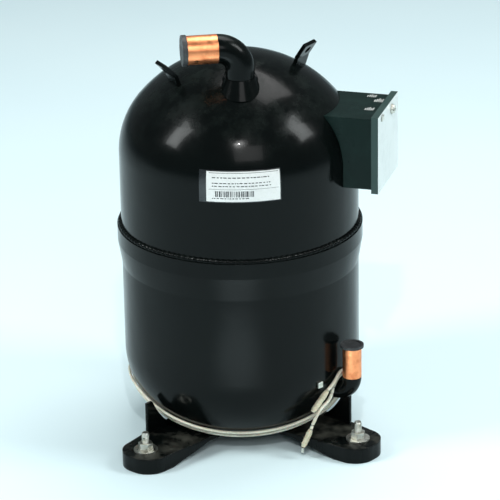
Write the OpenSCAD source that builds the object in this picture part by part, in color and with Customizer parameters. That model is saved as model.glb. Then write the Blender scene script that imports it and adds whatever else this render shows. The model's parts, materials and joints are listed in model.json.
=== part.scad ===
// Hermetic scroll compressor in a welded two-piece shell, standing on three pressed feet.
// Millimetres, +Z up. The origin is on the shell's axis, in the plane that the feet stand on.
// The suction stub leaves the dome, the discharge stub rises beside the lower shell.

/* [Shell] */
// Outer radius of the shell
shell_r = 120; // [119:0.5:121]
// Thickness of the shell's steel
shell_wall = 4; // [3.5:0.25:4.5]
// Height of the girth weld, where the upper shell enters the lower one
seam_z = 218; // [214:1:220]
// Height where the wall turns into the dome
dome_z = 294; // [292:1:296]
// Radius of the dome's shoulder
dome_knuckle_r = 83; // [80:1:84]
// Radius of the dome's crown
dome_crown_r = 131; // [128:1:134]
// Height where the wall turns into the bottom bowl
bowl_z = 86; // [85:0.5:87]
// Radius of the bowl's shoulder
bowl_knuckle_r = 84; // [83:0.5:84]

/* [Feet] */
// Distance of the studs from the shell's axis
stud_circle_r = 151; // [149:1:153]
// Radius of the M8 studs
stud_r = 4; // [3.9:0.05:4]
// Height of a foot's top face
foot_h = 16; // [15:0.5:16]
// Width of a foot
foot_w = 50; // [46:1:52]
// Thickness of the feet's steel
foot_t = 3; // [2.5:0.25:3]

/* [Pipe stubs] */
// Outer radius of the suction stub, 1 1/8 inch tube
suction_r = 14.29; // [14.2:0.01:14.3]
// Distance of the suction stub from the shell's axis
suction_at = 56; // [55:0.5:57]
// Height of the suction stub's level run
suction_z = 418; // [416:0.5:420]
// Outer radius of the discharge stub, 3/4 inch tube
discharge_r = 9.525; // [9.5:0.005:9.55]
// Distance of the discharge stub from the shell's axis
discharge_at = 135; // [134.5:0.5:136]
// Direction of the discharge stub around the shell
discharge_ang = -40; // [-40.5:0.5:-39.5]

/* [Terminal box] */
// Direction that the terminal box faces
box_ang = -21; // [-22:0.5:-20]
// Distance of the cover's face from the shell's axis
cover_face = 152; // [151:0.5:153]
// Width of the cover
cover_w = 83; // [81:0.5:84]
// Height of the cover
cover_h = 79; // [78:0.5:80]
// Height of the cover's lower edge
cover_z = 270.5; // [270:0.5:272]

/* [Scroll set] */
// Radius of the orbit, which is the crank's throw
orbit_r = 3; // [2.8:0.05:3]
// Radius of the circle that the wraps unwind from
base_r = 2.26; // [2.26:0.01:2.3]
// Thickness of the wraps
wrap_t = 3.6; // [3.5:0.05:3.6]
// Height of the wraps
wrap_h = 29.7; // [29:0.1:29.8]

/* [Motor] */
// Radius of the rotor
rotor_r = 52; // [50:0.5:52]
// Air gap between the rotor and the stator
air_gap = 0.8; // [0.7:0.1:1]
// Height of the motor's lower end
motor_z = 112; // [111:0.5:113]
// Length of the motor's laminations
stack_h = 76; // [74:1:76]
// Number of slots in the stator
slots = 18; // [12:6:24]

/* [Hidden] */
$fn = 64;
big = 400;
run_gap = 0.05;

// Shell
inner_r = shell_r - shell_wall;
band_r = shell_r + shell_wall;
band_h = 16;
band_taper = 24;
socket_z = seam_z - 28;
crown_drop = sqrt(pow(dome_crown_r - dome_knuckle_r, 2) - pow(shell_r - dome_knuckle_r, 2));
crown_ang = atan2(crown_drop, shell_r - dome_knuckle_r);
bowl_flat_r = shell_r - bowl_knuckle_r;
bowl_bottom = bowl_z - bowl_knuckle_r;

// Height of the dome's outside above the floor at distance r from the axis, on its crown
function crown_z(r) = dome_z - crown_drop + sqrt(pow(dome_crown_r, 2) - r * r);

// Feet
foot_angles = [225, 315, 90];
foot_end = 172;
foot_corner = 22;
foot_flare = 9;
foot_taper = [[50, -1], [144, -1], [90, foot_h - foot_t - 1], [50, foot_h - foot_t - 1]];
foot_root_r = 82;
web_out = 123;
web_top = 50;
web_outline = [[86.5, foot_h - 1], [92, 20], [98, 25], [102.5, 30], [106.5, 35], [109.8, 40], [112.6, 45],
    [115.2, web_top], [web_out, web_top], [web_out, foot_h - 1]];
grommet_r = 13;
washer_r = 12;
washer_t = 2;
nut_af = 13;
nut_h = 6.5;
stud_top = 36;
neck_z = 12;

// Suction
suction_ang = -91.5;
suction_turn = 184;
suction_bend = 22;
suction_wall = 1.5;
suction_reach = 30;
plug_flange = 4.5;
seat_gap = 0.3;
plug_depth = 12;

// Discharge
discharge_z = 59;
discharge_bend = 18;
discharge_wall = 1.2;
discharge_top = 109;
discharge_flange = 2.7;
discharge_weld_r = 12.5;
discharge_joint = discharge_z + discharge_bend;

// Terminal box
box_wall = 2;
box_shift = 7.5;
cover_lap = 3;
cover_rim = 5;
cover_t = 2;
gasket_t = 1.2;
box_face = cover_face - cover_t - gasket_t - seat_gap;
box_w = cover_w - 2 * cover_lap;
box_h = cover_h - 2 * cover_lap;
box_low = cover_z + cover_lap;
screw_y = 21.7;
screw_z = cover_z + cover_h - 9;
tab_y = -17.7;
tab_w = 7.2;
tab_z = cover_z + cover_h - 7.6;
terminal_z = 304;
entry_r = 10;
entry_at = 136;
entry_y = 28;

// Name plate
plate_from = -113.2;
plate_to = -74.7;
plate_z = 281.3;
plate_h = 32.4;
plate_t = 0.6;
label_t = 0.3;
label_inset = 3.5;

// Internals
frame_z = 240;
scroll_z = 266;
wrap_z = scroll_z + 10;
lid_z = wrap_z + 30;
lid_top = lid_z + 16;
cavity_r = 70;
hub_z = 245;
pin_r = 11;
bush_r = 15;
journal_r = 16;
shaft_r = 14;
lower_r = 12;
key_half = 4;
ring_in = 46;
ring_out = 58;
motor_top = motor_z + stack_h;

// Heater cord: two strands round the bowl, level at the back and lower at the front. Both ends of each meet
// at one clamp: the back ends at its side, the front ends below it
heater_r = 1.8;
heater_lift = 2.1;
heater_start = -29;
heater_steps = 100;
heater_sag = 1.5;
heater_blend = 8;
heater_rise = 7;
heater_end_fall = 24;
front_ang = -94.5;
// For each strand: how far it stays above the sagging line, its fall at the back,
// its fall at its start and its last angle
inner_strand = [11, 20, 15, 326.2];
outer_strand = [4, 27, 19.3, 330.2];
clamp_ang = -33;
clip_ang = -54.5;

// Points along the two free heater leads, from the clamp outwards
short_points = [[104.5, -64.8, 68], [103.8, -65.9, 70.4], [102.7, -67.2, 72.6], [101.4, -68.9, 74.8],
    [99.8, -70.9, 76.7], [97.9, -73.3, 78.2], [95.8, -76, 79.2], [93.8, -78.7, 79.5],
    [91.7, -81.2, 79], [89.7, -83.6, 77.3], [87.6, -86.1, 74.8], [85.4, -88.5, 72.4],
    [83.2, -90.8, 70.5], [81, -93.1, 69], [79.1, -95, 67.8], [77.6, -96.5, 66.8]];
long_points = [[100.9, -69.1, 68], [99.7, -70.3, 70], [98.3, -71.9, 72], [96.6, -73.9, 73.7],
    [94.7, -75.9, 74.7], [93, -78, 75], [90.9, -80.4, 74.4], [88.7, -82.7, 72.6], [86.6, -84.8, 69.8],
    [84.5, -86.6, 66], [83.3, -87.8, 62], [82, -89.2, 58], [79.8, -91.8, 54.7], [76.7, -95.4, 52.6],
    [73.5, -98.9, 51.4], [70.7, -101.7, 50], [68, -103.8, 47], [65.4, -105.6, 43.2],
    [63.1, -107.1, 39.2], [61, -108.3, 35.2], [59.3, -109.2, 31]];
lead_r = 1.7;
sleeve_short_end = [61.2, -107, 48.8];
sleeve_long_end = [50.8, -111.6, 13];
tip_end = [50.1, -112, 7];
sleeve_r = 3.3;
tip_r = 1.5;
joint_gap = 0.9;

// Range of the turning angle along the scroll wraps
wrap_from = 230;
wrap_to = 1145;
wrap_step = 7.5;

module ring(r_out, r_in, h) {
    difference() {
        cylinder(r = r_out, h = h);
        translate([0, 0, -1]) cylinder(r = r_in, h = h + 2);
    }
}

// A tube of given radius swept along a list of points, with n sides
function unit(v) = v / norm(v);
function along(p, i) = unit(p[min(i + 1, len(p) - 1)] - p[max(i - 1, 0)]);
function side(t) = unit(cross(t, abs(t[2]) > 0.9 ? [1, 0, 0] : [0, 0, 1]));
function loop_at(p, i, r, n) =
    let (t = along(p, i), a = side(t), b = cross(a, t))
    [for (k = [0:n - 1]) p[i] + r * (a * cos(360 * k / n) + b * sin(360 * k / n))];

module sweep(p, r, n = 8) {
    m = len(p);
    points = [for (i = [0:m - 1]) each loop_at(p, i, r, n)];
    sides = [for (i = [0:m - 2], k = [0:n - 1])
        [i * n + k, i * n + (k + 1) % n, (i + 1) * n + (k + 1) % n, (i + 1) * n + k]];
    first = [for (k = [0:n - 1]) n - 1 - k];
    last = [for (k = [0:n - 1]) (m - 1) * n + k];
    polyhedron(points, concat(sides, [first], [last]), convexity = 4);
}

// A straight rod between two points
module rod(a, b, r) {
    d = b - a;
    translate(a)
        rotate([0, acos(d[2] / norm(d)), atan2(d[1], d[0])])
            cylinder(r = r, h = norm(d));
}

// Half section of the dome's outline, less the given depth
module dome_section(depth) {
    translate([shell_r - dome_knuckle_r, dome_z]) circle(r = dome_knuckle_r - depth, $fn = 128);
    intersection() {
        translate([0, dome_z - crown_drop]) circle(r = dome_crown_r - depth, $fn = 128);
        translate([0, dome_z - crown_drop])
            polygon([[0, 0], [big * cos(crown_ang), big * sin(crown_ang)], [0, big]]);
    }
    translate([0, seam_z]) square([shell_r - dome_knuckle_r, dome_z - seam_z]);
    translate([0, socket_z]) square([shell_r - depth, dome_z - socket_z]);
}

module bowl_section(depth) {
    translate([bowl_flat_r, bowl_z]) circle(r = bowl_knuckle_r - depth, $fn = 128);
    translate([0, bowl_bottom + depth]) square([bowl_flat_r, bowl_knuckle_r]);
    translate([0, bowl_z]) square([shell_r - depth, seam_z - bowl_z]);
}

module right_half() {
    intersection() {
        children();
        translate([0, -10]) square([200, 500]);
    }
}

// The closed outside of the whole shell, used to trim what is welded to it
module shell_envelope() {
    rotate_extrude($fn = 128) right_half() {
        dome_section(0);
        bowl_section(0);
    }
}

module lower_shell() {
    color("#15181a") difference() {
        rotate_extrude($fn = 128) difference() {
            right_half() {
                translate([bowl_flat_r, bowl_z]) circle(r = bowl_knuckle_r, $fn = 128);
                polygon([[0, bowl_bottom], [bowl_flat_r, bowl_bottom], [bowl_flat_r, bowl_z],
                    [shell_r, bowl_z], [shell_r, seam_z - band_h - band_taper],
                    [band_r, seam_z - band_h], [band_r, seam_z], [0, seam_z]]);
            }
            bowl_section(shell_wall);
            translate([-1, socket_z]) square([shell_r + 1, big]);
        }
        rotate([0, 0, discharge_ang]) translate([0, 0, discharge_z])
            rotate([0, 90, 0]) cylinder(r = discharge_r, h = 140);
    }
}

module upper_shell() {
    color("#15181a") difference() {
        rotate_extrude($fn = 128) right_half() difference() {
            dome_section(0);
            dome_section(shell_wall);
            translate([-10, 0]) square([inner_r + 10, dome_z]);
        }
        rotate([0, 0, suction_ang]) translate([suction_at, 0, 350]) cylinder(r = suction_r, h = 60);
        rotate([0, 0, box_ang]) translate([100, 0, terminal_z]) rotate([0, 90, 0]) cylinder(r = 20, h = 30);
    }
}

module girth_weld() {
    color("#1b1e20") rotate_extrude($fn = 128) translate([0, seam_z]) intersection() {
        translate([shell_r, 0]) circle(r = 3.6);
        translate([shell_r, 0]) square([10, 10]);
    }
}

// Outline of a foot seen from above, pointing along +X: it widens towards the shell
module foot_outline(inset) {
    w = foot_w / 2 - inset;
    c = foot_corner - inset;
    straight = foot_end - foot_corner;
    polygon([[60, -w - foot_flare], [straight, -w], [straight, w], [60, w + foot_flare]]);
    translate([straight, -w + c]) square([c, 2 * (w - c)]);
    for (s = [-1, 1]) translate([straight, s * (w - c)]) circle(r = c);
}

// A pressed foot whose turned-down edge gets shallower towards the shell.
// A front foot has an upright web that the heater cord passes behind
module foot(ang, web_side) {
    color("#15181a") difference() {
        rotate([0, 0, ang]) difference() {
            union() {
                translate([0, 0, foot_h - foot_t]) linear_extrude(foot_t) foot_outline(0);
                linear_extrude(foot_h - 1) difference() {
                    foot_outline(0);
                    foot_outline(foot_t);
                }
                if (web_side != 0)
                    translate([0, web_side * (foot_w - foot_t) / 2 + foot_t / 2, 0]) rotate([90, 0, 0])
                        linear_extrude(foot_t) polygon(web_outline);
            }
            translate([stud_circle_r, 0, -1]) cylinder(r = grommet_r - 3, h = foot_h + 2);
            rotate([90, 0, 0]) linear_extrude(big, center = true) polygon(foot_taper);
        }
        translate([0, 0, -1]) cylinder(r = foot_root_r, h = foot_h + 2);
    }
}

module at_feet() {
    for (a = foot_angles) rotate([0, 0, a]) translate([stud_circle_r, 0, 0]) children();
}

module foot_front_left() {
    foot(foot_angles[0], -1);
}

module foot_front_right() {
    foot(foot_angles[1], 1);
}

module foot_rear() {
    foot(foot_angles[2], 0);
}

// Rubber bushes that line the holes, with a flange under each foot
module foot_grommets() {
    color("#222222") at_feet() difference() {
        union() {
            translate([0, 0, 1.5]) cylinder(r = grommet_r + 3, h = foot_h - foot_t - 1.5);
            translate([0, 0, foot_h - foot_t]) cylinder(r = grommet_r - 3, h = foot_t);
        }
        translate([0, 0, neck_z]) cylinder(r = stud_r, h = 20);
        translate([0, 0, -1]) cylinder(r = stud_r + 1.5, h = neck_z + 1);
    }
}

module foot_washers() {
    color("#b9bcb8") at_feet() translate([0, 0, foot_h]) ring(washer_r, stud_r, washer_t);
}

module foot_nuts() {
    color("#b9bcb8") at_feet() translate([0, 0, foot_h + washer_t]) difference() {
        intersection() {
            cylinder(r = nut_af / 2 / cos(30), h = nut_h, $fn = 6);
            translate([0, 0, -1.6]) cylinder(r1 = nut_af / 2 + 10, r2 = nut_af / 2 - 0.2 + 0.6, h = nut_h + 1.6);
        }
        translate([0, 0, -1]) cylinder(r = stud_r - 0.1, h = nut_h + 2);
    }
}

// The studs are plain at the lower end, where they enter a base frame
module foot_studs() {
    color("#b9bcb8") at_feet() {
        cylinder(r = stud_r, h = neck_z - 1);
        translate([0, 0, neck_z - 1]) cylinder(r = stud_r - 0.1, h = stud_top - neck_z);
        translate([0, 0, stud_top - 1]) cylinder(r1 = stud_r - 0.1, r2 = stud_r - 1, h = 1);
    }
}

// Moves children to the suction stub, with +X along its level run
module at_suction() {
    rotate([0, 0, suction_ang]) translate([suction_at, 0, 0])
        rotate([0, 0, suction_turn - suction_ang]) children();
}

module bent_tube(r, wall, bend, leg) {
    difference() {
        union() {
            rotate([90, 0, 0]) rotate_extrude(angle = 90, $fn = 96) translate([bend, 0]) circle(r = r);
            translate([bend, 0, -leg]) cylinder(r = r, h = leg);
        }
        rotate([90, 0, 0]) rotate_extrude(angle = 90, $fn = 96) translate([bend, 0]) circle(r = r - wall);
        translate([bend, 0, -leg - 1]) cylinder(r = r - wall, h = leg + 1);
    }
}

module suction_elbow() {
    color("#15181a") at_suction() translate([suction_bend, 0, suction_z - suction_bend])
        mirror([1, 0, 0]) bent_tube(suction_r, suction_wall, suction_bend, suction_z - suction_bend - 370);
}

// Collar of weld where the suction stub enters the dome
module suction_weld() {
    color("#1b1e20") rotate([0, 0, suction_ang]) difference() {
        translate([suction_at, 0, crown_z(suction_at) - 12]) cylinder(r1 = suction_r + 8, r2 = suction_r + 1, h = 18);
        translate([suction_at, 0, 350]) cylinder(r = suction_r, h = 60);
        shell_envelope();
    }
}

module suction_stub() {
    color("#c8794a") at_suction() translate([suction_bend, 0, suction_z]) rotate([0, 90, 0])
        ring(suction_r, suction_r - suction_wall, suction_reach);
}

module suction_plug() {
    color("#3c4042") at_suction() translate([suction_bend + suction_reach, 0, suction_z]) rotate([0, 90, 0]) {
        translate([0, 0, seat_gap]) cylinder(r = suction_r + 1, h = plug_flange);
        translate([0, 0, -plug_depth]) cylinder(r = suction_r - suction_wall - 0.1, h = plug_depth + 1);
    }
}

// Inner end of the suction line, down to the fixed scroll
module suction_tube() {
    color("#c8794a") rotate([0, 0, suction_ang]) translate([suction_at, 0, lid_z + 4])
        ring(suction_r - suction_wall, suction_r - 2 * suction_wall, 376 - lid_z - 4);
}

module at_discharge() {
    rotate([0, 0, discharge_ang]) translate([discharge_at, 0, 0]) children();
}

// The bend and the level run into the shell, at radius r and with the run lengthened by extra
module discharge_path(r, extra) {
    run = discharge_at - discharge_bend - 108;
    at_discharge() {
        translate([-discharge_bend, 0, discharge_joint]) rotate([-90, 0, 0])
            rotate_extrude(angle = 90, $fn = 96) translate([discharge_bend, 0]) circle(r = r);
        translate([-discharge_bend, 0, discharge_z]) rotate([0, -90, 0]) cylinder(r = r, h = run + extra);
    }
}

module discharge_elbow() {
    color("#15181a") difference() {
        discharge_path(discharge_r, 0);
        discharge_path(discharge_r - discharge_wall, 1);
    }
}

// A fillet all round, thick above and on the side away from the heater clamp
module discharge_weld() {
    color("#1b1e20") difference() {
        at_discharge() translate([-discharge_bend, 0, discharge_z]) rotate([0, -90, 0]) {
            cylinder(r = discharge_r + 0.35, h = 8);
            intersection() {
                cylinder(r1 = discharge_r + 0.6, r2 = discharge_weld_r, h = 8);
                translate([-3, -20, 0]) cube([23, 22, 8]);
            }
        }
        discharge_path(discharge_r + 0.03, 0);
        rotate([0, 0, discharge_ang]) translate([seat_gap, 0, 0]) shell_envelope();
    }
}

module discharge_stub() {
    color("#c8794a") at_discharge() translate([0, 0, discharge_joint])
        ring(discharge_r, discharge_r - discharge_wall, discharge_top - discharge_joint);
}

module discharge_plug() {
    color("#3c4042") at_discharge() translate([0, 0, discharge_top]) {
        difference() {
            translate([0, 0, seat_gap]) cylinder(r = discharge_r + 2.3, h = discharge_flange);
            translate([0, 0, seat_gap + discharge_flange - 0.8]) cylinder(r = discharge_r - 0.5, h = 2);
        }
        translate([0, 0, -plug_depth]) cylinder(r = discharge_r - discharge_wall - 0.1, h = plug_depth + 1);
    }
}

// A flat bar bent outwards, with a hole for a hook
module lug(ang, dist, twist, width, lean) {
    z = crown_z(dist);
    color("#15181a") difference() {
        rotate([0, 0, ang]) translate([dist, 0, z]) rotate([0, 20, twist]) {
            translate([-2, -width / 2, -8]) cube([4, width, 18]);
            translate([0, 0, 10]) rotate([0, lean, 0]) difference() {
                translate([-2, -width / 2, -1.2]) cube([4, width, 18]);
                translate([-5, 0, 9]) rotate([0, 90, 0]) cylinder(r = 4, h = 10);
            }
        }
        shell_envelope();
    }
}

module lifting_lug_left() {
    lug(203, 69, 0, 20, 24);
}

module lifting_lug_right() {
    lug(6, 63, -45, 20, 14);
}

// Moves children to the box: X outwards, Y along its width, Z up
module at_box() {
    rotate([0, 0, box_ang]) translate([0, box_shift, 0]) children();
}

module terminal_box() {
    color("#1c2422") difference() {
        at_box() translate([80, -box_w / 2, box_low]) cube([box_face - 80, box_w, box_h]);
        at_box() translate([70, -box_w / 2 + box_wall, box_low + box_wall])
            cube([100, box_w - 2 * box_wall, box_h - 2 * box_wall]);
        at_box() translate([entry_at, entry_y - 10, box_low - 1]) cylinder(r = entry_r, h = box_wall + 2);
        shell_envelope();
    }
}

module cover_gasket() {
    color("#111111") at_box() translate([box_face, -box_w / 2, box_low]) difference() {
        cube([gasket_t, box_w, box_h]);
        translate([-1, 3, 3]) cube([5, box_w - 6, box_h - 6]);
    }
}

module terminal_cover() {
    color("#aeb3b0") at_box() difference() {
        translate([cover_face - cover_rim - cover_t, -cover_w / 2, cover_z])
            cube([cover_rim + cover_t, cover_w, cover_h]);
        translate([cover_face - cover_t - 50, -box_w / 2 - 0.4, box_low - 0.4])
            cube([50, box_w + 0.8, box_h + 0.8]);
        translate([cover_face - 20, screw_y - box_shift, screw_z]) rotate([0, 90, 0]) cylinder(r = 2.8, h = 30);
        translate([cover_face - 20, tab_y - box_shift - tab_w / 2 - 0.4, tab_z - 0.4]) cube([30, tab_w + 0.8, 4]);
    }
}

module cover_screw() {
    color("#8b8f8c") at_box() translate([cover_face + seat_gap, screw_y - box_shift, screw_z]) rotate([0, 90, 0]) {
        cylinder(r = 5, h = 1);
        difference() {
            cylinder(r = 4, h = 3.2);
            translate([-0.5, -5, 2]) cube([1, 10, 3]);
        }
        translate([0, 0, -14]) cylinder(r = 2.4, h = 15);
    }
}

// Sprung tab that holds the cover's other corner
module cover_tab() {
    color("#6b5238") at_box() translate([cover_face, tab_y - box_shift - tab_w / 2, tab_z]) {
        translate([-14, 0, 0]) cube([15.5, tab_w, 1.2]);
        translate([seat_gap, 0, 0]) cube([1.2, tab_w, 5]);
    }
}

module terminal_body() {
    color("#9a9c98") rotate([0, 0, box_ang]) translate([114, 0, terminal_z]) rotate([0, 90, 0]) difference() {
        union() {
            cylinder(r = 20, h = 6);
            translate([0, 0, 6]) cylinder(r = 17, h = 3);
        }
        for (a = [0:120:240]) rotate([0, 0, a]) translate([9, 0, -1]) cylinder(r = 1.6, h = 20);
    }
}

module terminal_pins() {
    color("#b08d57") rotate([0, 0, box_ang]) translate([104, 0, terminal_z]) rotate([0, 90, 0])
        for (a = [0:120:240]) rotate([0, 0, a]) translate([9, 0, 0]) cylinder(r = 1.6, h = 32);
}

module terminal_block() {
    color("#2b2b2b") rotate([0, 0, box_ang]) translate([124, 0, terminal_z]) difference() {
        translate([0, -17, -17]) cube([9, 34, 34]);
        rotate([0, 90, 0]) for (a = [0:120:240]) rotate([0, 0, a]) translate([9, 0, -1]) cylinder(r = 1.8, h = 20);
    }
}

// A thin piece laid on the shell between two angles and two heights
module wrapped(lift, thick, ang_a, ang_b, z_a, z_b) {
    rotate([0, 0, ang_a]) rotate_extrude(angle = ang_b - ang_a, $fn = 128) intersection() {
        difference() {
            dome_section(-lift - thick);
            dome_section(-lift);
        }
        translate([shell_r / 2, z_a]) square([shell_r, z_b - z_a]);
    }
}

module name_plate() {
    color("#101214") wrapped(0, plate_t, plate_from, plate_to, plate_z, plate_z + plate_h);
}

module name_label() {
    color("#e8e8e4") wrapped(plate_t, label_t, plate_from + label_inset, plate_to - 0.5,
        plate_z + 1, plate_z + plate_h - 1);
}

function larger(a, b, k) = (a + b + sqrt(pow(a - b, 2) + k * k)) / 2;
function ease(t) = t * t * (3 - 2 * t);
function near(gap) = ease(max(0, 1 - gap / heater_rise));

// Centre line of a heater strand at step i: a fall of 0 is level with the bowl's shoulder
function heater_at(i, strand) =
    let (turn = 360 * i / heater_steps,
        share = (turn - 90 / PI * sin(turn)) / 360,
        ang = heater_start + (strand[3] - heater_start) * share,
        sag = atan(heater_sag * max(0, cos(ang - front_ang))) - strand[0],
        free = larger(sag, strand[1], heater_blend),
        at_start = near(ang - heater_start),
        at_end = near(strand[3] - ang),
        fall = free + (strand[2] - free) * at_start + (heater_end_fall - free) * at_end,
        r = bowl_knuckle_r + heater_lift,
        out = bowl_flat_r + r * cos(fall))
    [out * cos(ang), out * sin(ang), bowl_z - r * sin(fall)];

module heater_cord_inner() {
    color("#e6e2d4") sweep([for (i = [0:heater_steps]) heater_at(i, inner_strand)], heater_r);
}

module heater_cord_outer() {
    color("#e6e2d4") sweep([for (i = [0:heater_steps]) heater_at(i, outer_strand)], heater_r);
}

// The block that joins the cord's ends, and a clip for the leads
module heater_clamps() {
    color("#9a9c98") {
        rotate([0, 0, clamp_ang]) translate([118.2, -4.6, 56]) cube([7.8, 9.2, 10]);
        rotate([0, 0, clip_ang]) translate([119.7, -3, 71]) cube([1.8, 6, 6]);
    }
}

module heater_lead_short() {
    color("#e6e2d4") sweep(short_points, lead_r);
}

module heater_lead_long() {
    color("#e6e2d4") sweep(long_points, lead_r);
}

// A rod that starts a little way past a, so that it meets nothing that ends there
module rod_after(a, b, r) {
    rod(a + joint_gap * unit(b - a), b, r);
}

module lead_sleeve_short() {
    color("#d6cfae") rod_after(short_points[len(short_points) - 1], sleeve_short_end, sleeve_r);
}

module lead_sleeve_long() {
    color("#d6cfae") rod_after(long_points[len(long_points) - 1], sleeve_long_end, sleeve_r);
}

module lead_tip() {
    color("#b9bcb8") rod_after(sleeve_long_end, tip_end, tip_r);
}

module motor_leads() {
    color("#b03a2e") for (k = [-1, 0, 1]) rotate([0, 0, box_ang + 4.2 * k])
        sweep([[93.4, 0, 212], [98, 0, 216], [104, 0, 224], [108, 0, 236], [109, 0, 250], [109, 0, 265],
            [109, 0, 280], [107, 0, 289], [106, 0, terminal_z - (k == 0 ? 12.2 : -1.3)]], 1.4);
}

// Involute of the base circle at turning angle a, in degrees
function involute(a, shift) =
    let (t = a * PI / 180)
    [base_r * (cos(a) + (t - shift) * sin(a)), base_r * (sin(a) - (t - shift) * cos(a))];

module wrap(h) {
    half = wrap_t / 2 / base_r;
    linear_extrude(h) polygon(concat(
        [for (a = [wrap_from:wrap_step:wrap_to]) involute(a, half)],
        [for (a = [wrap_to:-wrap_step:wrap_from]) involute(a, -half)]));
}

module fixed_scroll() {
    color("#8d9193") difference() {
        union() {
            translate([0, 0, lid_z]) cylinder(r = 100, h = lid_top - lid_z);
            translate([0, 0, scroll_z - 2]) ring(100, cavity_r, lid_z - scroll_z + 3);
            translate([0, 0, lid_z - wrap_h]) wrap(wrap_h + 1);
        }
        translate([0, 0, lid_z - 1]) cylinder(r = 5, h = 30);
        rotate([0, 0, suction_ang]) translate([suction_at, 0, lid_z - 1])
            cylinder(r = suction_r - suction_wall, h = 30);
        for (a = [45:90:315]) rotate([0, 0, a]) translate([85, 0, 200]) cylinder(r = 4, h = 200);
        rotate([0, 0, box_ang]) translate([92, -16, 250]) cube([20, 32, 90]);
    }
}

module orbiting_scroll() {
    color("#a4a8aa") translate([orbit_r, 0, 0]) difference() {
        union() {
            translate([0, 0, scroll_z]) cylinder(r = 62, h = wrap_z - scroll_z);
            translate([0, 0, wrap_z - 1]) rotate([0, 0, 180]) wrap(wrap_h + 1);
            translate([0, 0, hub_z]) cylinder(r = 22, h = scroll_z - hub_z + 1);
        }
        translate([0, 0, hub_z - 1]) cylinder(r = bush_r, h = 19);
        for (s = [-1, 1]) translate([-key_half - 2 * orbit_r - 0.4, s * 54 - 9.5, scroll_z - 1])
            cube([2 * (key_half + 2 * orbit_r + 0.4), 19, 6]);
    }
}

// Ring that keeps the orbiting scroll from turning: lower keys along X, upper keys along Y
module oldham_ring() {
    color("#c0b48a") translate([orbit_r, 0, 0]) {
        translate([0, 0, scroll_z - 7]) ring(ring_out, ring_in, 6.4);
        for (s = [0, 180]) rotate([0, 0, s]) {
            translate([48, -key_half, scroll_z - 12]) cube([8, 2 * key_half, 6]);
            translate([-key_half, 48, scroll_z - 2]) cube([2 * key_half, 8, 6]);
        }
    }
}

module main_frame() {
    color("#6f7577") difference() {
        union() {
            translate([0, 0, frame_z]) cylinder(r = inner_r, h = scroll_z - 2 - frame_z);
            translate([0, 0, 214]) cylinder(r = 32, h = frame_z - 214 + 1);
            translate([0, 0, frame_z]) cylinder(r = 42, h = scroll_z - 0.3 - frame_z);
        }
        translate([0, 0, 213]) cylinder(r = journal_r + 4, h = 40);
        translate([0, 0, hub_z - 1]) cylinder(r = 26, h = 40);
        translate([0, 0, scroll_z - 7.4]) ring(63, 42, 20);
        for (s = [0, 180]) rotate([0, 0, s]) translate([44.4, -key_half - 0.2, scroll_z - 12.4])
            cube([15.2, 2 * key_half + 0.4, 20]);
        for (a = [45:90:315]) rotate([0, 0, a]) translate([85, 0, 200]) cylinder(r = 4, h = 200);
        for (a = [0:120:240]) rotate([0, 0, box_ang + a]) translate([102, -14, 200]) cube([30, 28, 100]);
    }
}

module main_bearing() {
    color("#b08d57") translate([0, 0, 214]) ring(journal_r + 4, journal_r + run_gap, 30);
}

module crankshaft() {
    color("#9aa0a3") difference() {
        union() {
            translate([0, 0, 40]) cylinder(r = lower_r, h = 54);
            translate([0, 0, 92]) cylinder(r = shaft_r, h = 120);
            translate([0, 0, 210]) cylinder(r = journal_r, h = 33.5);
            translate([orbit_r, 0, 243]) cylinder(r = pin_r, h = 19);
        }
        translate([orbit_r, 0, 30]) cylinder(r = 3, h = 240);
    }
}

module drive_bush() {
    color("#b08d57") translate([orbit_r, 0, hub_z + 0.5]) ring(bush_r - run_gap, pin_r, 16.5);
}

module half_ring(r_out, r_in, h) {
    difference() {
        ring(r_out, r_in, h);
        translate([-100, 0, -1]) cube([200, 100, h + 2]);
    }
}

module upper_counterweight() {
    color("#a67c3d") translate([0, 0, motor_top + 8]) rotate([0, 0, -90]) {
        half_ring(48, shaft_r, 10);
        ring(20, shaft_r, 10);
    }
}

module lower_counterweight() {
    color("#a67c3d") translate([0, 0, motor_z - 16]) rotate([0, 0, 90]) {
        half_ring(46, shaft_r, 8);
        ring(20, shaft_r, 8);
    }
}

module rotor_core() {
    color("#585c60") translate([0, 0, motor_z]) difference() {
        cylinder(r = rotor_r, h = stack_h);
        translate([0, 0, -1]) cylinder(r = shaft_r, h = stack_h + 2);
        for (a = [0:60:300]) rotate([0, 0, a]) translate([26, 0, -1]) cylinder(r = 5, h = stack_h + 2);
    }
}

module rotor_end_rings() {
    color("#c9ccce") for (z = [motor_z - 6, motor_top]) translate([0, 0, z]) ring(50, 33, 6);
}

module stator_core() {
    color("#4d5256") translate([0, 0, motor_z]) difference() {
        linear_extrude(stack_h) difference() {
            circle(r = inner_r, $fn = 128);
            circle(r = rotor_r + air_gap, $fn = 128);
            for (i = [0:slots - 1]) rotate([0, 0, 360 * (i + 0.5) / slots]) {
                translate([50, -1.5]) square([10, 3]);
                translate([58, -5]) square([30, 10]);
            }
            for (a = [0:60:300]) rotate([0, 0, box_ang + a]) translate([110, -20]) square([10, 40]);
        }
    }
}

// Rounded end turns above and below the laminations, joined by a bundle in each slot
module end_windings() {
    color("#9c4a22") {
        for (z = [motor_z - 14, motor_top + 14]) translate([0, 0, z]) rotate_extrude($fn = 96) {
            translate([64, -6]) square([30, 12]);
            translate([70, -12]) square([18, 24]);
            for (x = [70, 88], y = [-6, 6]) translate([x, y]) circle(r = 6);
        }
        for (i = [0:slots - 1]) rotate([0, 0, 360 * (i + 0.5) / slots])
            translate([65, -4, motor_z - 10]) cube([22, 8, stack_h + 20]);
    }
}

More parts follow.
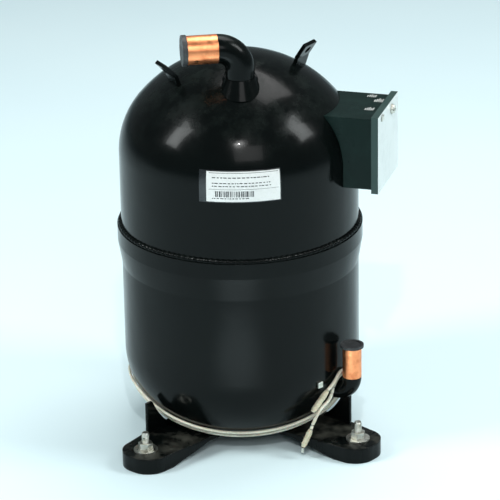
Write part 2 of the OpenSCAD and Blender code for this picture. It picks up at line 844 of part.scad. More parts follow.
module lower_bracket() {
    color("#6f7577") difference() {
        union() {
            translate([0, 0, 70]) cylinder(r = 26, h = 18);
            for (a = [30:120:270]) rotate([0, 0, a]) translate([0, -14, 78]) cube([inner_r - 1.4, 28, 7]);
        }
        translate([0, 0, 60]) cylinder(r = lower_r + 4, h = 40);
    }
}

module lower_bearing() {
    color("#b08d57") translate([0, 0, 70]) ring(lower_r + 4, lower_r + run_gap, 18);
}

module oil_pickup() {
    color("#c9ccce") difference() {
        union() {
            translate([0, 0, 14]) cylinder(r1 = 5, r2 = 8, h = 8);
            translate([0, 0, 22]) cylinder(r = 8, h = 18);
        }
        translate([0, 0, 10]) cylinder(r = 3, h = 40);
    }
}

module discharge_valve() {
    color("#b8c4c8") translate([0, 0, lid_top + 0.05]) cylinder(r = 9, h = 1.5);
}

module valve_retainer() {
    color("#8d9193") difference() {
        translate([0, 0, lid_top]) cylinder(r = 16, h = 8);
        translate([0, 0, lid_top - 1]) cylinder(r = 9.4, h = 5.2);
        translate([0, 0, lid_top]) cylinder(r = 5, h = 20);
        for (a = [0, 90]) rotate([0, 0, a]) translate([-20, -3, lid_top - 1]) cube([40, 6, 4.8]);
    }
}

module scroll_bolts() {
    color("#55585a") for (a = [45:90:315]) rotate([0, 0, a]) translate([85, 0, 0]) {
        translate([0, 0, lid_top]) cylinder(r = 7.5, h = 6, $fn = 6);
        translate([0, 0, 246]) cylinder(r = 4, h = lid_top - 245);
    }
}

lower_shell();
upper_shell();
girth_weld();
foot_front_left();
foot_front_right();
foot_rear();
foot_grommets();
foot_washers();
foot_nuts();
foot_studs();
suction_elbow();
suction_weld();
suction_stub();
suction_plug();
suction_tube();
discharge_elbow();
discharge_weld();
discharge_stub();
discharge_plug();
lifting_lug_left();
lifting_lug_right();
terminal_box();
terminal_cover();
cover_gasket();
cover_screw();
cover_tab();
terminal_body();
terminal_pins();
terminal_block();
name_plate();
name_label();
heater_cord_inner();
heater_cord_outer();
heater_clamps();
heater_lead_short();
heater_lead_long();
lead_sleeve_short();
lead_sleeve_long();
lead_tip();
motor_leads();
fixed_scroll();
orbiting_scroll();
oldham_ring();
main_frame();
main_bearing();
crankshaft();
drive_bush();
upper_counterweight();
lower_counterweight();
rotor_core();
rotor_end_rings();
stator_core();
end_windings();
lower_bracket();
lower_bearing();
oil_pickup();
discharge_valve();
valve_retainer();
scroll_bolts();
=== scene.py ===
"""Looks of a hermetic scroll compressor: black enamel shell, copper stubs, terminal box, heater cord."""

import json
import math
import random

import bpy
from mathutils import Matrix, Vector


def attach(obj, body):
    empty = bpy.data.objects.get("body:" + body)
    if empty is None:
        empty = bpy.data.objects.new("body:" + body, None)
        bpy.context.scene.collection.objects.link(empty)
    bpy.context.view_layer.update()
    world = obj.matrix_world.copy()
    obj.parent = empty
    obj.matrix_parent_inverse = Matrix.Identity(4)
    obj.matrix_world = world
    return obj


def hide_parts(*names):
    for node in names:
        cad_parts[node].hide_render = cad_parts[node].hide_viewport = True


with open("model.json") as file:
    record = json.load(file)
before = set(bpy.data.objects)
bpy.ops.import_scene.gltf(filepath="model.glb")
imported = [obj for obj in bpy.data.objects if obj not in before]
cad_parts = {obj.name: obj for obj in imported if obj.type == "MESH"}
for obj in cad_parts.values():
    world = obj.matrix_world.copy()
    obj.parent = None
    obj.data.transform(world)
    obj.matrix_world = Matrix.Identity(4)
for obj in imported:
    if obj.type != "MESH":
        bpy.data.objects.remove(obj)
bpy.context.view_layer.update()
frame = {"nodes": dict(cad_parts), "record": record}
MM = 0.001
BOX_ANGLE = -21  # the way the terminal box faces, in degrees
rng = random.Random(7)

# ---------------------------------------------------------------- camera

VIEW_TURN = math.radians(-4.5)
VIEW_RISE = math.radians(22.0)
VIEW_ROLL = math.radians(1.0)
CAMERA_AWAY = 3.0
AIM_RIGHT = 0.0096
AIM_HEIGHT = 0.1835
FOCAL_MM = 212.7


def view_axes(turn, rise):
    """Right, up and backward directions of a camera that looks at the object's axis."""
    right = Vector((math.cos(turn), math.sin(turn), 0))
    level_back = Vector((math.sin(turn), -math.cos(turn), 0))
    back = level_back * math.cos(rise) + Vector((0, 0, math.sin(rise)))
    return right, back.cross(right), back


def make_camera():
    right, up, back = view_axes(VIEW_TURN, VIEW_RISE)
    aim = right * AIM_RIGHT + Vector((0, 0, AIM_HEIGHT))
    x_axis = right * math.cos(VIEW_ROLL) - up * math.sin(VIEW_ROLL)
    y_axis = right * math.sin(VIEW_ROLL) + up * math.cos(VIEW_ROLL)
    data = bpy.data.cameras.new("camera")
    data.lens = FOCAL_MM
    data.sensor_width = 36
    data.clip_end = 50
    camera = bpy.data.objects.new("camera", data)
    bpy.context.scene.collection.objects.link(camera)
    turn = Matrix((x_axis, y_axis, back)).transposed().to_4x4()
    camera.matrix_world = Matrix.Translation(aim + back * CAMERA_AWAY) @ turn
    bpy.context.scene.camera = camera


make_camera()

# ---------------------------------------------------------------- mesh tools


def new_mesh(name, points, faces, slot, smooth=True):
    """A piece made from points and faces. All the pieces made here ride on the shell."""
    mesh = bpy.data.meshes.new(name)
    mesh.from_pydata([tuple(p) for p in points], [], faces)
    mesh.update()
    if smooth:
        mesh.shade_smooth()
    piece = bpy.data.objects.new(name, mesh)
    bpy.context.scene.collection.objects.link(piece)
    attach(piece, "shell")
    piece.data.materials.append(MATERIALS[slot])
    return piece


def grid_faces(rows, columns, wrap_rows=False, wrap_columns=False):
    """Four-sided faces between rows of points, joined end to start where wrapped."""
    faces = []
    for i in range(rows if wrap_rows else rows - 1):
        for k in range(columns if wrap_columns else columns - 1):
            a = i * columns + k
            b = i * columns + (k + 1) % columns
            c = ((i + 1) % rows) * columns
            faces.append((a, b, c + (k + 1) % columns, c + k))
    return faces


def tube(name, path, radius, slot, sides=16, wobble=None):
    """A closed tube along a path; radius may be a function of the share of the way along."""
    count = len(path)
    points = []
    for i, here in enumerate(path):
        ahead = (path[min(i + 1, count - 1)] - path[max(i - 1, 0)]).normalized()
        reference = Vector((1, 0, 0)) if abs(ahead.z) > 0.9 else Vector((0, 0, 1))
        across = ahead.cross(reference).normalized()
        other = across.cross(ahead)
        r = radius(i / (count - 1)) if callable(radius) else radius
        for k in range(sides):
            turn = math.tau * k / sides
            swell = 1 + (wobble(i, turn) if wobble else 0)
            points.append(here + (across * math.cos(turn) + other * math.sin(turn)) * r * swell)
    faces = [tuple(reversed(f)) for f in grid_faces(count, sides, wrap_columns=True)]
    faces.append(tuple(range(sides)))
    faces.append(tuple((count - 1) * sides + k for k in reversed(range(sides))))
    return new_mesh(name, points, faces, slot)


def smooth_path(knots, per_span=4):
    """A Catmull-Rom line through given points."""
    path = []
    for i in range(len(knots) - 1):
        a = knots[max(i - 1, 0)]
        b = knots[i]
        c = knots[i + 1]
        d = knots[min(i + 2, len(knots) - 1)]
        for k in range(per_span):
            t = k / per_span
            path.append(0.5 * (2 * b + (c - a) * t + (2 * a - 5 * b + 4 * c - d) * t * t
                               + (3 * b - a - 3 * c + d) * t ** 3))
    return path + [knots[-1]]


def outward(angle):
    """Level direction at an angle in degrees."""
    turn = math.radians(angle)
    return Vector((math.cos(turn), math.sin(turn), 0))


def millimetres(*points):
    return [Vector(p) * MM for p in points]


# ---------------------------------------------------------------- material tools


class Shade:
    """A principled material with short helpers for procedural patterns in the object's own metres."""

    def __init__(self, name, edge_radius=0.0005, **settings):
        self.material = bpy.data.materials.new(name)
        self.material.use_nodes = True
        self.nodes = self.material.node_tree.nodes
        self.links = self.material.node_tree.links
        self.surface = self.nodes["Principled BSDF"]
        self.place = self.nodes.new("ShaderNodeTexCoord").outputs["Object"]
        edge = self.nodes.new("ShaderNodeBevel")
        edge.inputs["Radius"].default_value = edge_radius
        self.normal = edge.outputs["Normal"]
        for label, value in settings.items():
            self.surface.inputs[label.replace("_", " ")].default_value = value

    def feed(self, socket, value):
        if isinstance(value, bpy.types.NodeSocket):
            self.links.new(value, socket)
        else:
            socket.default_value = value

    def stretched(self, scales):
        node = self.nodes.new("ShaderNodeMapping")
        self.links.new(self.place, node.inputs["Vector"])
        node.inputs["Scale"].default_value = scales
        return node.outputs["Vector"]

    def noise(self, scale, detail=4.0, roughness=0.55, stretch=None):
        node = self.nodes.new("ShaderNodeTexNoise")
        self.links.new(self.stretched(stretch) if stretch else self.place, node.inputs["Vector"])
        node.inputs["Scale"].default_value = scale
        node.inputs["Detail"].default_value = detail
        node.inputs["Roughness"].default_value = roughness
        return node.outputs["Fac"]

    def cells(self, scale, stretch=None):
        node = self.nodes.new("ShaderNodeTexVoronoi")
        self.links.new(self.stretched(stretch) if stretch else self.place, node.inputs["Vector"])
        node.inputs["Scale"].default_value = scale
        return node.outputs["Distance"]

    def remap(self, source, low, high, to_low=0.0, to_high=1.0):
        node = self.nodes.new("ShaderNodeMapRange")
        self.feed(node.inputs["Value"], source)
        for label, value in (("From Min", low), ("From Max", high), ("To Min", to_low), ("To Max", to_high)):
            node.inputs[label].default_value = value
        return node.outputs["Result"]

    def math(self, operation, a, b=0.0):
        node = self.nodes.new("ShaderNodeMath")
        node.operation = operation
        self.feed(node.inputs[0], a)
        self.feed(node.inputs[1], b)
        return node.outputs[0]

    def mix(self, share, a, b):
        node = self.nodes.new("ShaderNodeMix")
        node.data_type = "RGBA"
        self.feed(node.inputs[0], share)
        self.feed(node.inputs[6], a)
        self.feed(node.inputs[7], b)
        return node.outputs[2]

    def facing(self, direction):
        """How far the surface faces a direction: 1 straight at it, 0 edge on."""
        geometry = self.nodes.new("ShaderNodeNewGeometry")
        node = self.nodes.new("ShaderNodeVectorMath")
        node.operation = "DOT_PRODUCT"
        self.links.new(geometry.outputs["Normal"], node.inputs[0])
        node.inputs[1].default_value = direction
        return node.outputs["Value"]

    def facing_up(self):
        return self.facing((0, 0, 1))

    def crevice(self, reach=0.006):
        node = self.nodes.new("ShaderNodeAmbientOcclusion")
        node.inputs["Distance"].default_value = reach
        node.samples = 4
        return self.math("SUBTRACT", 1.0, node.outputs["AO"])

    def bump(self, height, distance, strength=1.0):
        node = self.nodes.new("ShaderNodeBump")
        node.inputs["Strength"].default_value = strength
        node.inputs["Distance"].default_value = distance
        self.links.new(height, node.inputs["Height"])
        self.links.new(self.normal, node.inputs["Normal"])
        self.normal = node.outputs["Normal"]

    def done(self, colour=None, roughness=None):
        if colour is not None:
            self.feed(self.surface.inputs["Base Color"], colour)
        if roughness is not None:
            self.feed(self.surface.inputs["Roughness"], roughness)
        self.links.new(self.normal, self.surface.inputs["Normal"])
        return self.material


def rgb(r, g, b):
    return (r, g, b, 1.0)


# ---------------------------------------------------------------- materials


def gloss_enamel(name, dark, dusty, rough=0.15, wave=0.0009, dustiness=0.3, edge=0.0005):
    """Black gloss paint over pressed steel: slow waves, fine orange peel, dust on top and in corners."""
    s = Shade(name, edge, Coat_Weight=0.06, Coat_Roughness=0.04, IOR=1.2)
    s.bump(s.noise(14, 2), wave)
    s.bump(s.noise(60, 3), wave * 0.12)
    s.bump(s.noise(900, 2), 0.00002)
    dust_patch = s.remap(s.noise(35, 6, 0.7), 0.45, 0.8)
    on_top = s.remap(s.facing_up(), 0.25, 1.0)
    in_corner = s.remap(s.crevice(), 0.25, 0.8)
    speck = s.remap(s.cells(420), 0.03, 0.1, 1.0, 0.0)
    dust = s.math("MULTIPLY", dust_patch, s.math("MAXIMUM", on_top, in_corner))
    dust = s.math("MAXIMUM", dust, s.math("MULTIPLY", speck, s.remap(s.noise(50), 0.6, 0.7, 0, 0.5)))
    tone = s.mix(s.remap(s.noise(9, 3), 0.35, 0.7), dark, [c * 0.55 for c in dark[:3]] + [1.0])
    colour = s.mix(s.math("MULTIPLY", dust, dustiness), tone, dusty)
    streak = s.remap(s.noise(30, 5, 0.6, stretch=(1, 1, 0.12)), 0.4, 0.75, 0.0, 0.12)
    roughness = s.math("ADD", s.math("ADD", rough, streak), s.math("MULTIPLY", dust, 0.35))
    return s.done(colour, roughness)


def copper():
    """Drawn tube: bright orange with brown oxide patches, painted shade in its crevices and fine draw lines.
    """
    s = Shade("copper", Metallic=1.0)
    s.bump(s.noise(700, 3, 0.6, stretch=(1, 1, 0.1)), 0.00003)
    s.bump(s.noise(120, 3), 0.00012)
    oxide = s.remap(s.noise(90, 6, 0.65), 0.48, 0.72)
    # The crevice mask darkens the copper in its hollows: painted shade, in the same brown as the oxide
    # patches.
    edge = s.remap(s.crevice(0.004), 0.2, 0.8)
    oxide_and_painted_shade = s.math("MAXIMUM", oxide, edge)
    colour = s.mix(oxide_and_painted_shade, rgb(0.98, 0.36, 0.16), rgb(0.7, 0.2, 0.08))
    return s.done(colour, s.remap(s.noise(160, 4), 0.3, 0.7, 0.26, 0.48))


def zinc():
    """Plated fasteners: pale, slightly yellow, with dulled patches and painted shade in their crevices."""
    s = Shade("zinc", Metallic=1.0)
    s.bump(s.noise(800, 3), 0.00004)
    patch = s.remap(s.noise(150, 5, 0.6), 0.42, 0.7)
    colour = s.mix(patch, rgb(0.78, 0.78, 0.72), rgb(0.5, 0.48, 0.4))
    # Dark brown where the crevice mask is high: painted shade in the recesses.
    colour = s.mix(s.remap(s.crevice(0.003), 0.3, 0.9), colour, rgb(0.16, 0.12, 0.09))
    return s.done(colour, s.remap(s.noise(220, 4), 0.3, 0.7, 0.24, 0.5))


def rubber(name, dark, pale, rough=0.6):
    """Moulded rubber: fine grain with a faint bloom."""
    s = Shade(name, Specular_IOR_Level=0.4)
    s.bump(s.noise(1100, 2), 0.00003)
    s.bump(s.noise(90, 3), 0.0001)
    bloom = s.remap(s.noise(120, 5, 0.65), 0.45, 0.8)
    colour = s.mix(bloom, dark, pale)
    return s.done(colour, s.remap(s.noise(200), 0.3, 0.7, rough - 0.12, rough + 0.12))


def satin_paint(name, base, stain, rough=0.38):
    """Sprayed paint on sheet steel: orange peel, smudges and darker edges."""
    s = Shade(name, Coat_Weight=0.05, Coat_Roughness=0.2, Specular_IOR_Level=0.12)
    s.bump(s.noise(10, 2), 0.0006)
    s.bump(s.noise(700, 2), 0.00003)
    smudge = s.remap(s.noise(28, 6, 0.65), 0.5, 0.78)
    runs = s.remap(s.noise(60, 4, 0.6, stretch=(1, 1, 0.08)), 0.55, 0.8, 0.0, 0.5)
    edge = s.remap(s.crevice(0.003), 0.2, 0.8, 0.0, 0.8)
    mark = s.math("MAXIMUM", s.math("MAXIMUM", smudge, runs), edge)
    colour = s.mix(s.math("MULTIPLY", mark, 0.5), base, stain)
    return s.done(colour, s.remap(s.noise(45, 4), 0.3, 0.7, rough - 0.08, rough + 0.12))


def cover_paint():
    """Dark green paint, with a painted reflection of a window on the outward side: pale with smudges there,
    and dark green on the turned-in rim.
    """
    s = Shade("cover_paint", Coat_Weight=0.15, Coat_Roughness=0.2)
    s.bump(s.noise(10, 2), 0.0006)
    s.bump(s.noise(700, 2), 0.00003)
    # Pale where the surface looks out of the box: a painted reflection of a window over the dark green
    # paint.
    window_reflection_mask = s.remap(s.facing(outward(BOX_ANGLE)), 0.6, 0.9)
    smudge = s.remap(s.noise(28, 6, 0.65), 0.5, 0.78, 0.0, 0.5)
    window_reflection_colour = s.mix(smudge, rgb(0.72, 0.77, 0.76), rgb(0.42, 0.47, 0.46))
    colour = s.mix(window_reflection_mask, rgb(0.012, 0.04, 0.034), window_reflection_colour)
    return s.done(colour, s.remap(s.noise(45, 4), 0.3, 0.7, 0.32, 0.52))


def film(name, base, stain, rough=0.22):
    """Printed film with a faint sheen and handling marks."""
    s = Shade(name, Coat_Weight=0.3, Coat_Roughness=0.1)
    s.bump(s.noise(40, 3), 0.00012)
    smear = s.remap(s.noise(60, 6, 0.65), 0.5, 0.8, 0.0, 0.6)
    return s.done(s.mix(smear, base, stain), s.remap(s.noise(120), 0.3, 0.7, rough, rough + 0.15))


def silicone(name, base, dirty, transmit=0.0):
    """Soft cord or sleeve skin, grubby in patches."""
    s = Shade(name, Subsurface_Weight=0.12, Subsurface_Scale=0.002, Transmission_Weight=transmit)
    s.bump(s.noise(500, 3), 0.00006)
    grime = s.remap(s.noise(110, 5, 0.65), 0.45, 0.75)
    colour = s.mix(s.math("MULTIPLY", grime, 0.55), base, dirty)
    return s.done(colour, s.remap(s.noise(300), 0.3, 0.7, 0.4, 0.6))


def bare_metal(name, base, stain, metallic=1.0, low=0.25, high=0.45, lines=None):
    """Machined or cast metal, with tool lines where stretched scales are given."""
    s = Shade(name, Metallic=metallic)
    s.bump(s.noise(600, 3, 0.6, stretch=lines), 0.00004)
    s.bump(s.noise(80, 4), 0.0001)
    oil = s.remap(s.noise(45, 5, 0.6), 0.45, 0.75)
    colour = s.mix(oil, base, stain)
    return s.done(colour, s.remap(s.noise(150, 4), 0.3, 0.7, low, high))


def winding_wire():
    """Varnished wire: rows of strands with painted shade in the gaps between them."""
    s = Shade("winding", Coat_Weight=0.4, Coat_Roughness=0.15)
    strands = s.noise(500, 2, 0.5, stretch=(0.15, 0.15, 1))
    s.bump(strands, 0.0004)
    # The low parts of the strand pattern are painted dark: painted shade in the gaps between strands.
    colour = s.mix(s.remap(strands, 0.35, 0.6), rgb(0.12, 0.04, 0.02), rgb(0.62, 0.26, 0.1))
    return s.done(colour, s.remap(s.noise(200), 0.3, 0.7, 0.3, 0.5))


BLACK = rgb(0.0025, 0.0038, 0.0036)
SHELL_DUST = rgb(0.03, 0.045, 0.038)
FOOT_DUST = rgb(0.1, 0.1, 0.082)
MATERIALS = {
    "shell_enamel": gloss_enamel("shell_enamel", BLACK, SHELL_DUST),
    "foot_enamel": gloss_enamel("foot_enamel", BLACK, FOOT_DUST, rough=0.24, wave=0.0014, dustiness=1.0,
                                edge=0.0028),
    "grommet_rubber": rubber("grommet_rubber", rgb(0.015, 0.015, 0.015), rgb(0.05, 0.05, 0.05)),
    "zinc": zinc(),
    "copper": copper(),
    "plug_rubber": rubber("plug_rubber", rgb(0.03, 0.032, 0.034), rgb(0.085, 0.09, 0.09), 0.5),
    "box_enamel": satin_paint("box_enamel", rgb(0.002, 0.011, 0.009), rgb(0.012, 0.034, 0.029), 0.3),
    "cover_paint": cover_paint(),
    "terminal_steel": bare_metal("terminal_steel", rgb(0.55, 0.55, 0.53), rgb(0.3, 0.28, 0.24)),
    "pin_brass": bare_metal("pin_brass", rgb(0.78, 0.6, 0.3), rgb(0.45, 0.3, 0.12)),
    "block_plastic": rubber("block_plastic", rgb(0.02, 0.02, 0.02), rgb(0.07, 0.07, 0.07), 0.45),
    "plate_black": film("plate_black", rgb(0.012, 0.014, 0.016), rgb(0.05, 0.055, 0.06)),
    "label_white": film("label_white", rgb(0.8, 0.8, 0.78), rgb(0.6, 0.6, 0.57)),
    "cord_silicone": silicone("cord_silicone", rgb(0.78, 0.75, 0.62), rgb(0.4, 0.34, 0.22)),
    "sleeve": silicone("sleeve", rgb(0.74, 0.68, 0.5), rgb(0.42, 0.36, 0.24), 0.15),
    "lead_red": silicone("lead_red", rgb(0.5, 0.05, 0.03), rgb(0.25, 0.03, 0.02)),
    "cast_iron": bare_metal("cast_iron", rgb(0.32, 0.32, 0.33), rgb(0.14, 0.12, 0.1), 0.9, 0.35, 0.6),
    "sintered": bare_metal("sintered", rgb(0.42, 0.4, 0.36), rgb(0.2, 0.18, 0.15), 0.9, 0.35, 0.6),
    "shaft_steel": bare_metal("shaft_steel", rgb(0.6, 0.6, 0.6), rgb(0.35, 0.32, 0.28), lines=(1, 1, 8)),
    "weight_brass": bare_metal("weight_brass", rgb(0.62, 0.48, 0.24), rgb(0.3, 0.2, 0.08)),
    "laminations": bare_metal("laminations", rgb(0.26, 0.27, 0.29), rgb(0.1, 0.09, 0.08),
                              lines=(0.05, 0.05, 4)),
    "ring_aluminium": bare_metal("ring_aluminium", rgb(0.8, 0.8, 0.81), rgb(0.5, 0.49, 0.47)),
    "winding": winding_wire(),
}


def dress_cad_nodes():
    for part in frame["record"]["subparts"]:
        mesh = frame["nodes"][part["node"]].data
        mesh.materials.clear()
        mesh.materials.append(MATERIALS[part["material_slot"]])


dress_cad_nodes()

# ---------------------------------------------------------------- cords

LEAD_DIAMETER = 3.4 * MM
SLEEVE_R = 3.1 * MM
SLEEVE_RIBS = 9
SLEEVE_GAP = 0.9 * MM
SHORT_LEAD = millimetres(
    (104.5, -64.8, 68), (103.8, -65.9, 70.4), (102.7, -67.2, 72.6), (101.4, -68.9, 74.8),
    (99.8, -70.9, 76.7), (97.9, -73.3, 78.2), (95.8, -76, 79.2), (93.8, -78.7, 79.5), (91.7, -81.2, 79),
    (89.7, -83.6, 77.3), (87.6, -86.1, 74.8), (85.4, -88.5, 72.4), (83.2, -90.8, 70.5), (81, -93.1, 69),
    (79.1, -95, 67.8), (77.6, -96.5, 66.8))
LONG_LEAD = millimetres(
    (100.9, -69.1, 68), (99.7, -70.3, 70), (98.3, -71.9, 72), (96.6, -73.9, 73.7), (94.7, -75.9, 74.7),
    (93, -78, 75), (90.9, -80.4, 74.4), (88.7, -82.7, 72.6), (86.6, -84.8, 69.8), (84.5, -86.6, 66),
    (83.3, -87.8, 62), (82, -89.2, 58), (79.8, -91.8, 54.7), (76.7, -95.4, 52.6), (73.5, -98.9, 51.4),
    (70.7, -101.7, 50), (68, -103.8, 47), (65.4, -105.6, 43.2), (63.1, -107.1, 39.2), (61, -108.3, 35.2),
    (59.3, -109.2, 31))
SHORT_SLEEVE_END, LONG_SLEEVE_END = millimetres((61.2, -107, 48.8), (50.8, -111.6, 13))


def make_sleeve(name, start, end, node):
    """Shrink tube over the end of a lead, pinched at the ends and a little crumpled."""
    steps = 72
    start = start.lerp(end, SLEEVE_GAP / (end - start).length)
    path = [start.lerp(end, i / steps) for i in range(steps + 1)]

    def radius(t):
        rib = 1 + 0.05 * math.cos(math.tau * SLEEVE_RIBS * t)
        pinch = 0.72 + 0.28 * min(1.0, 6 * t, 6 * (1 - t))
        return SLEEVE_R * rib * pinch

    def crumple(i, turn):
        return 0.04 * math.sin(i * 0.3 + 2 * turn) - 0.1 * abs(math.sin(turn)) ** 3

    sleeve = tube(name, path, radius, "sleeve", wobble=crumple)
    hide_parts(node)
    return sleeve


def make_leads():
    """The two free ends of the heater, each a tube with its sleeve."""
    short_path = smooth_path(SHORT_LEAD)
    long_path = smooth_path(LONG_LEAD)
    short = tube("heater_lead_short_skin", short_path, LEAD_DIAMETER / 2, "cord_silicone")
    long = tube("heater_lead_long_skin", long_path, LEAD_DIAMETER / 2, "cord_silicone")
    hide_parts("heater_lead_short")
    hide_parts("heater_lead_long")
    short_sleeve = make_sleeve("sleeve_short_skin", SHORT_LEAD[-1], SHORT_SLEEVE_END, "lead_sleeve_short")
    long_sleeve = make_sleeve("sleeve_long_skin", LONG_LEAD[-1], LONG_SLEEVE_END, "lead_sleeve_long")


make_leads()

# ---------------------------------------------------------------- shell details

SHELL_R = 120
KNUCKLE_R, CROWN_R, DOME_Z = 83, 131, 294
BOWL_R, BOWL_Z = 84, 86
SEAM_Z = 219.0
SUCTION_ANGLE, SUCTION_AT = -91.5, 56
FOOT_ANGLES = (225, 315, 90)
STUD_CIRCLE_R = 151
LABEL_LOW, LABEL_HIGH = 282.3, 312.7
LABEL_LIFT = 0.97
BOX_TOP, BOX_SHIFT = 346.62, 7.5
HEATER_STEPS = 400
STRAND_R = 1.4 * MM
CROWN_DROP = math.sqrt((CROWN_R - KNUCKLE_R) ** 2 - (SHELL_R - KNUCKLE_R) ** 2)


def dome_radius(z):
    """Radius of the upper shell's outside at height z, up to the end of its shoulder."""
    if z <= DOME_Z:
        return SHELL_R
    return SHELL_R - KNUCKLE_R + math.sqrt(KNUCKLE_R ** 2 - (z - DOME_Z) ** 2)


def dome_height(r):
    """Height of the crown's outside at a distance r from the axis."""
    return DOME_Z - CROWN_DROP + math.sqrt(CROWN_R ** 2 - r * r)


def around(angle, radius, z):
    """A place at an angle in degrees, a distance from the axis and a height, both in millimetres."""
    return (outward(angle) * radius + Vector((0, 0, z))) * MM


def ease(t):
    return t * t * (3 - 2 * t)


def heater_line(droop, back_fall, start_fall, end_angle):
    """Centre line of one heater strand, as in the CAD source: level behind, sagging in front."""
    start, rise, end_fall, front, blend, lift = -29, 7, 24, -94.5, 8, 2.1
    path = []
    for i in range(HEATER_STEPS + 1):
        angle = start + (end_angle - start) * i / HEATER_STEPS
        sag = math.degrees(math.atan(1.5 * max(0.0, math.cos(math.radians(angle - front))))) - droop
        free = (sag + back_fall + math.hypot(sag - back_fall, blend)) / 2
        at_start = ease(max(0.0, 1 - (angle - start) / rise))
        at_end = ease(max(0.0, 1 - (end_angle - angle) / rise))
        fall = math.radians(free + (start_fall - free) * at_start + (end_fall - free) * at_end)
        r = BOWL_R + lift
        path.append(around(angle, SHELL_R - BOWL_R + r * math.cos(fall), BOWL_Z - r * math.sin(fall)))
    return path


def make_heater():
    inner_line = heater_line(droop=11, back_fall=20, start_fall=15, end_angle=326.2)
    outer_line = heater_line(droop=4, back_fall=27, start_fall=19.3, end_angle=330.2)
    inner = tube("heater_skin_inner", inner_line, STRAND_R, "cord_silicone", sides=12)
    outer = tube("heater_skin_outer", outer_line, STRAND_R, "cord_silicone", sides=12)
    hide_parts("heater_cord_inner")
    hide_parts("heater_cord_outer")


def weld_bead(name, centres, normals, width, ripple):
    """A rippled bead laid along a closed ring of points, with an outward direction at each."""
    sides = 8
    count = len(centres)
    points = []
    for i, here in enumerate(centres):
        along = (centres[(i + 1) % count] - centres[i - 1]).normalized()
        out = normals[i]
        across = along.cross(out).normalized()
        swell = 1 + 0.13 * math.sin(i * ripple) + rng.uniform(-0.05, 0.05)
        for k in range(sides):
            turn = math.tau * k / sides
            points.append(here + (across * math.cos(turn) + out * math.sin(turn) * 0.75) * width * swell)
    faces = grid_faces(count, sides, wrap_rows=True, wrap_columns=True)
    return new_mesh(name, points, faces, "shell_enamel")


def make_girth_weld():
    """The bead between the two shells, which wanders up and down a little."""
    count = 900
    angles = [360 * i / count for i in range(count)]
    centres = [around(a, SHELL_R + 0.6, SEAM_Z + 0.35 * math.sin(math.radians(5 * a))) for a in angles]
    normals = [outward(a) for a in angles]
    bead = weld_bead("girth_weld_bead", centres, normals, width=3.1 * MM, ripple=0.9)
    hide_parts("girth_weld")


def make_suction_weld():
    """The ripples on the bead where the suction elbow enters the dome."""
    centre = around(SUCTION_ANGLE, SUCTION_AT, 0)
    count = 120
    centres, normals = [], []
    for i in range(count):
        out = outward(360 * i / count)
        spot = centre + out * 15.6 * MM
        spot.z = (dome_height(spot.xy.length / MM) + 4) * MM
        centres.append(spot)
        normals.append((out + Vector((0, 0, 1))).normalized())
    weld_bead("suction_root_bead", centres, normals, width=2.2 * MM, ripple=0.8)


def label_mark(name, angles, heights, steps=24):
    """A thin dark mark printed on the label between two angles and two heights."""
    rows = 6
    points = []
    for i in range(rows + 1):
        z = heights[0] + (heights[1] - heights[0]) * i / rows
        for k in range(steps + 1):
            angle = angles[0] + (angles[1] - angles[0]) * k / steps
            points.append(around(angle, dome_radius(z) + LABEL_LIFT, z))
    return new_mesh(name, points, grid_faces(rows + 1, steps + 1), "plate_black")


def make_label_print():
    """Generic bars, rules and ticks on the white label."""
    label_mark("label_rule_top", (-108.5, -76), (LABEL_HIGH - 1.6, LABEL_HIGH - 1.2))
    label_mark("label_rule_mid", (-108.5, -76), (LABEL_LOW + 12.6, LABEL_LOW + 12.9))
    angle = -105.5
    count = 0
    while angle < -87.5:
        width = rng.choice((0.22, 0.22, 0.4, 0.6))
        label_mark(f"label_bar_{count}", (angle, angle + width), (LABEL_LOW + 5, LABEL_LOW + 11), steps=1)
        angle += width + rng.choice((0.25, 0.3, 0.5))
        count += 1
    for row, height in enumerate((3, 15.5, 18.5, 24)):
        z = LABEL_LOW + height
        angle = -107
        end = -90 if row == 0 else -80
        while angle < end:
            width = rng.uniform(0.5, 1.7)
            label_mark(f"label_tick_{row}_{count}", (angle, angle + width), (z, z + 0.9), steps=2)
            angle += width + rng.uniform(0.35, 0.8)
            count += 1


def make_box_marks():
    """Small pale wiring marks printed on top of the terminal box, with no lettering."""
    out = outward(BOX_ANGLE)
    across = outward(BOX_ANGLE + 90)
    top = Vector((0, 0, BOX_TOP))
    count = 0
    for start, sideways, length in ((131, -12, 9), (134, 14, 11), (124, 27, 8)):
        for k in range(5):
            corner = top + out * (start + 1.9 * k) + across * (BOX_SHIFT + sideways)
            end = corner + across * length * (0.55 + 0.45 * ((k * 7) % 5) / 4)
            points = [corner * MM, end * MM, (end + out * 0.8) * MM, (corner + out * 0.8) * MM]
            new_mesh(f"box_mark_{count}", points, [(3, 2, 1, 0)], "label_white", smooth=False)
            count += 1


def make_studs():
    """Threaded studs: the thread is a fine helix that shows above each nut."""
    steps_per_turn = 20
    pitch = 1.25 * MM
    low, high = 12 * MM, 35.5 * MM
    for n, angle in enumerate(FOOT_ANGLES):
        base = around(angle, STUD_CIRCLE_R, 0)
        rows = int((high - low) / pitch * 6)
        points = []
        for i in range(rows + 1):
            z = low + (high - low) * i / rows
            for k in range(steps_per_turn):
                turn = math.tau * k / steps_per_turn
                phase = (z / pitch - k / steps_per_turn) % 1
                depth = 0.32 * (1 - abs(2 * phase - 1)) * MM
                fade = 1 if z < high - 0.001 else 0.85
                r = (3.88 * MM - depth) * fade
                points.append(base + Vector((r * math.cos(turn), r * math.sin(turn), z)))
        faces = grid_faces(rows + 1, steps_per_turn, wrap_columns=True)
        faces.append(tuple(rows * steps_per_turn + k for k in range(steps_per_turn)))
        thread = new_mesh(f"stud_thread_{n}", points, faces, "zinc", smooth=False)
        if n == 0:
            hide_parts("foot_studs")


make_heater()
make_girth_weld()
make_suction_weld()
make_label_print()
make_box_marks()
make_studs()

# ---------------------------------------------------------------- floor and light

AIM = Vector((0, 0, 0.2))


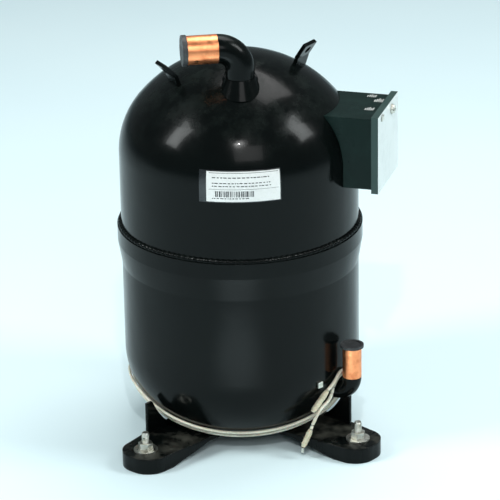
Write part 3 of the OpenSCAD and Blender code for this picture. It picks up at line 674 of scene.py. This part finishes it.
def make_floor():
    """A plain pale floor, just below the feet."""
    mesh = bpy.data.meshes.new("floor")
    half = 12.0
    corners = [(-half, -half, 0), (half, -half, 0), (half, half, 0), (-half, half, 0)]
    mesh.from_pydata(corners, [], [(0, 1, 2, 3)])
    floor = bpy.data.objects.new("floor", mesh)
    floor.location.z = -0.0004
    bpy.context.scene.collection.objects.link(floor)
    s = Shade("floor_pale", Specular_IOR_Level=0.2)
    colour = s.mix(s.remap(s.noise(1.5, 3), 0.3, 0.7), rgb(0.72, 0.88, 0.92), rgb(0.76, 0.91, 0.94))
    mesh.materials.append(s.done(colour, 0.7))


def hang(name, light, place):
    lamp = bpy.data.objects.new(name, light)
    bpy.context.scene.collection.objects.link(lamp)
    lamp.location = place
    return lamp


def softbox(name, turn, rise, away, size, power, colour=(1, 1, 1)):
    """An area light aimed at the shell, at a turn in degrees from the camera's heading and a rise."""
    heading = VIEW_TURN - math.pi / 2 + math.radians(turn)
    level = math.cos(math.radians(rise))
    offset = Vector((math.cos(heading) * level, math.sin(heading) * level, math.sin(math.radians(rise))))
    light = bpy.data.lights.new(name, "AREA")
    light.shape = "RECTANGLE"
    light.size, light.size_y = size
    light.energy = power
    light.color = colour
    lamp = hang(name, light, AIM + offset * away)
    lamp.rotation_euler = offset.to_track_quat("Z", "Y").to_euler()


def light_floor_patch():
    """A pool of light on the floor in front, which the lower shell mirrors as a soft upright glow."""
    light = bpy.data.lights.new("floor_pool", "SPOT")
    light.energy = 130
    light.spot_size = math.radians(15)
    light.spot_blend = 1.0
    light.shadow_soft_size = 0.05
    hang("floor_pool", light, (-0.05, -0.4, 1.2))


def light_scene():
    world = bpy.data.worlds.new("room")
    world.use_nodes = True
    back = world.node_tree.nodes["Background"]
    back.inputs["Color"].default_value = rgb(0.62, 0.74, 0.78)
    back.inputs["Strength"].default_value = 0.26
    bpy.context.scene.world = world
    softbox("overhead", 150, 68, 2.4, (1.6, 1.2), 34)
    softbox("left_window", -72, 38, 2.2, (0.5, 1.1), 26, (0.95, 1, 1))
    softbox("right_window", 78, 40, 2.2, (0.6, 0.9), 22, (0.95, 1, 1))
    softbox("flash", 0.7, 43.5, 2.6, (0.07, 0.05), 14)
    softbox("fill", 10, 30, 3.5, (1.6, 1.2), 18)
    scene = bpy.context.scene
    scene.view_settings.view_transform = "Standard"
    scene.view_settings.look = "None"
    scene.view_settings.exposure = 0.0


make_floor()
light_floor_patch()
light_scene()
